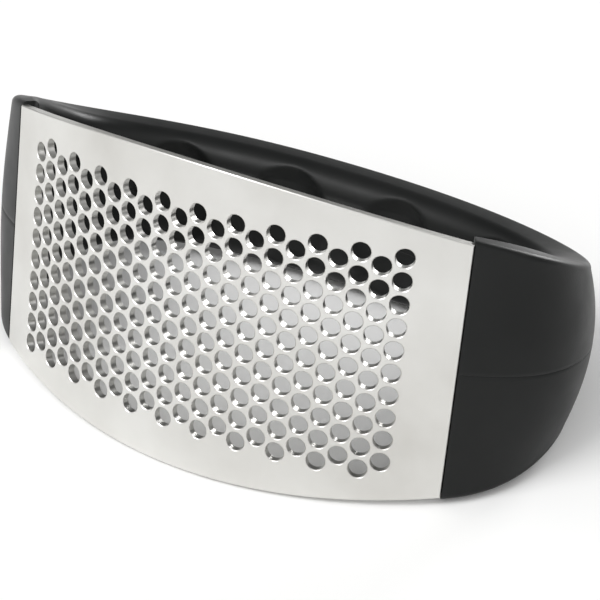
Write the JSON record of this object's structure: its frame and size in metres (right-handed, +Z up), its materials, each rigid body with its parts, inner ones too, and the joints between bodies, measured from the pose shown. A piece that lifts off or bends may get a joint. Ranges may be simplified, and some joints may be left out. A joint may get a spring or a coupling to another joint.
{
  "type": "rocking garlic press",
  "caption": "Rocking garlic press: a curved perforated steel plate held at both ends by a two-part moulded loop handle with finger grooves, lying on its side.",
  "frame": {"origin": "on the surface that the press lies on, under the centre of its bounding box", "axes": "+X along the press, from one end of the plate to the other; +Y from the pressing face towards the back of the handle; +Z up. The press lies on its side and leans back by about 16 degrees, on the lower edge of the plate and the back rim of the handle"},
  "size_m": [0.1144, 0.0674, 0.0527],
  "materials": {
    "plate_steel": "fine satin, rolled sheet",
    "handle_plastic": "matte, finely textured moulding"
  },
  "bodies": {
    "root": {"perforated_plate": "plate_steel", "handle_lower_half": "handle_plastic", "handle_upper_half": "handle_plastic"}
  },
  "joints": []
}
